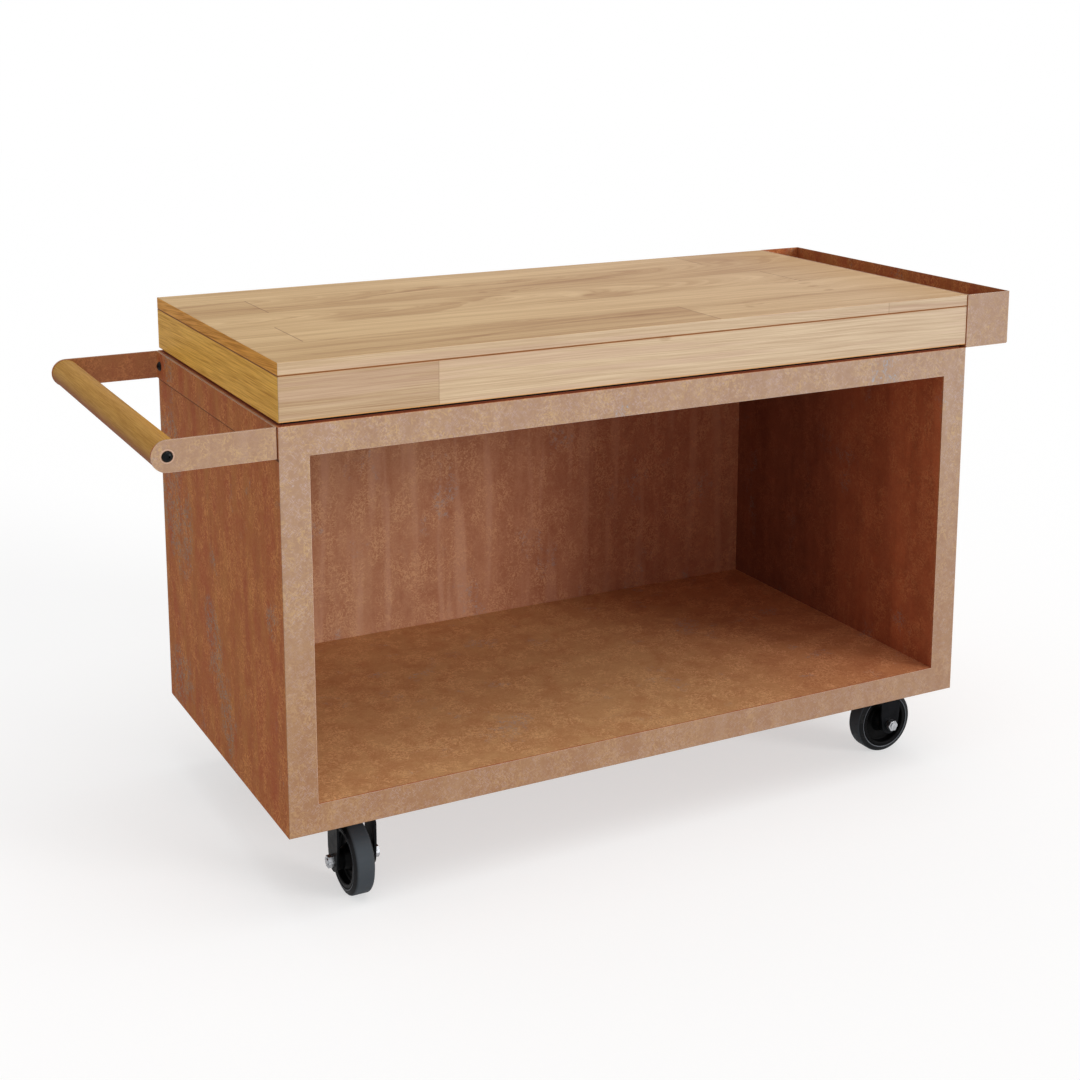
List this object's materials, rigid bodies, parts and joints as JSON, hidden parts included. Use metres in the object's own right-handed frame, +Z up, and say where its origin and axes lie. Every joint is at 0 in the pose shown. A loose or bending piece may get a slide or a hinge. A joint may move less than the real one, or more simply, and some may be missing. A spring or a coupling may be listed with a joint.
{
  "type": "prep table",
  "caption": "Outdoor prep table on swivel casters: weathering steel cabinet with an open storage bay, thick wooden worktop, wooden push handle and steel herb planter.",
  "frame": {"origin": "on the floor, under the middle of the table's whole length, from the handle to the planter, and of its depth", "axes": "+X along the length from the handle to the planter, +Y from the open front to the back, +Z up"},
  "size_m": [1.6459, 0.682, 0.925],
  "materials": {
    "corten": "matt weathering steel with a stable rust patina, mottled",
    "worktop_wood": "edge-glued hardwood staves, oiled, satin",
    "apron_wood": "oiled hardwood boards, satin",
    "handle_wood": "turned hardwood, oiled, satin",
    "black_steel": "black powder coat, satin",
    "black_screw": "black oxide, semi-gloss",
    "zinc": "bright zinc plated",
    "wheel_plastic": "moulded black polyamide, satin",
    "tyre_rubber": "solid dark grey rubber, smooth tread",
    "strip_rubber": "black rubber strip"
  },
  "bodies": {
    "cabinet": {"front_frame": "corten", "left_side_panel": "corten", "right_side_panel": "corten", "back_panel": "corten", "top_deck": "corten", "base_pan": "corten", "bay_floor": "corten", "bay_ceiling": "corten", "bay_left_wall": "corten", "bay_right_wall": "corten", "caster_backing_plates": "corten", "worktop_board": "worktop_wood", "apron_front": "apron_wood", "apron_back": "apron_wood", "apron_left": "apron_wood", "apron_right": "apron_wood", "worktop_battens": "apron_wood", "worktop_strip": "strip_rubber", "worktop_screws": "zinc", "handle_bracket": "corten", "handle_dowel": "handle_wood", "handle_dowel_screws": "black_screw", "handle_bracket_bolts": "black_screw", "handle_weld_nuts": "zinc", "planter_trough": "corten", "planter_end_plates": "corten", "planter_screws": "black_screw", "caster_kingpins": "zinc", "caster_bolts": "zinc", "front_left_caster_plate": "black_steel", "front_right_caster_plate": "black_steel", "rear_left_caster_plate": "black_steel", "rear_right_caster_plate": "black_steel"},
    "front_left_fork": {"front_left_caster_fork": "black_steel", "front_left_caster_balls": "zinc", "front_left_axle_bolt": "zinc", "front_left_axle_sleeve": "zinc"},
    "front_left_wheel": {"front_left_wheel_core": "wheel_plastic", "front_left_tyre": "tyre_rubber"},
    "front_right_fork": {"front_right_caster_fork": "black_steel", "front_right_caster_balls": "zinc", "front_right_axle_bolt": "zinc", "front_right_axle_sleeve": "zinc"},
    "front_right_wheel": {"front_right_wheel_core": "wheel_plastic", "front_right_tyre": "tyre_rubber"},
    "rear_left_fork": {"rear_left_caster_fork": "black_steel", "rear_left_caster_balls": "zinc", "rear_left_axle_bolt": "zinc", "rear_left_axle_sleeve": "zinc"},
    "rear_left_wheel": {"rear_left_wheel_core": "wheel_plastic", "rear_left_tyre": "tyre_rubber"},
    "rear_right_fork": {"rear_right_caster_fork": "black_steel", "rear_right_caster_balls": "zinc", "rear_right_axle_bolt": "zinc", "rear_right_axle_sleeve": "zinc"},
    "rear_right_wheel": {"rear_right_wheel_core": "wheel_plastic", "rear_right_tyre": "tyre_rubber"}
  },
  "joints": [
    {"name": "front_left_swivel", "type": "hinge", "parent": "cabinet", "child": "front_left_fork", "pos_m": [-0.497, -0.2275, 0.139], "axis": [0, 0, 1], "continuous": true},
    {"name": "front_left_wheel_roll", "type": "hinge", "parent": "front_left_fork", "child": "front_left_wheel", "pos_m": [-0.497, -0.2745, 0.0625], "axis": [1, 0, 0], "continuous": true},
    {"name": "front_right_swivel", "type": "hinge", "parent": "cabinet", "child": "front_right_fork", "pos_m": [0.593, -0.2275, 0.139], "axis": [0, 0, 1], "continuous": true},
    {"name": "front_right_wheel_roll", "type": "hinge", "parent": "front_right_fork", "child": "front_right_wheel", "pos_m": [0.64, -0.2275, 0.0625], "axis": [0, 1, 0], "continuous": true},
    {"name": "rear_left_swivel", "type": "hinge", "parent": "cabinet", "child": "rear_left_fork", "pos_m": [-0.497, 0.2275, 0.139], "axis": [0, 0, 1], "continuous": true},
    {"name": "rear_left_wheel_roll", "type": "hinge", "parent": "rear_left_fork", "child": "rear_left_wheel", "pos_m": [-0.45, 0.2275, 0.0625], "axis": [0, 1, 0], "continuous": true},
    {"name": "rear_right_swivel", "type": "hinge", "parent": "cabinet", "child": "rear_right_fork", "pos_m": [0.593, 0.2275, 0.139], "axis": [0, 0, 1], "continuous": true},
    {"name": "rear_right_wheel_roll", "type": "hinge", "parent": "rear_right_fork", "child": "rear_right_wheel", "pos_m": [0.593, 0.1805, 0.0625], "axis": [1, 0, 0], "continuous": true}
  ]
}
